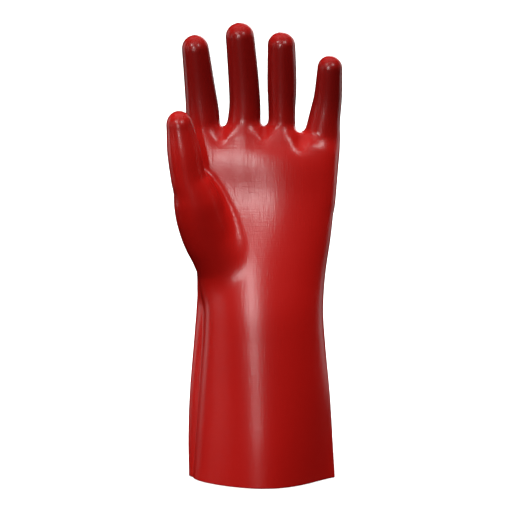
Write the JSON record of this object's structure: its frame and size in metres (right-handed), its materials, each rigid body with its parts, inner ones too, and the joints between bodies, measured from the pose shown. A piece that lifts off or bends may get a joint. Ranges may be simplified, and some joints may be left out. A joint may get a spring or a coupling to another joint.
{
  "type": "pvc coated work glove",
  "caption": "Left-hand gauntlet glove with a smooth glossy red coating, a flared cuff and spread, slightly curled fingers.",
  "frame": {"origin": "on the surface that the hem stands on, under the middle of the glove's bounding box", "axes": "+Z from the hem to the fingertips, -Y is the palm side, -X is the thumb side"},
  "size_m": [0.1314, 0.0792, 0.3501],
  "materials": {
    "pvc_coat": "smooth glossy dipped PVC over a fine knit, cream knit on the inside"
  },
  "bodies": {
    "root": {"glove_shell": "pvc_coat"}
  },
  "joints": []
}
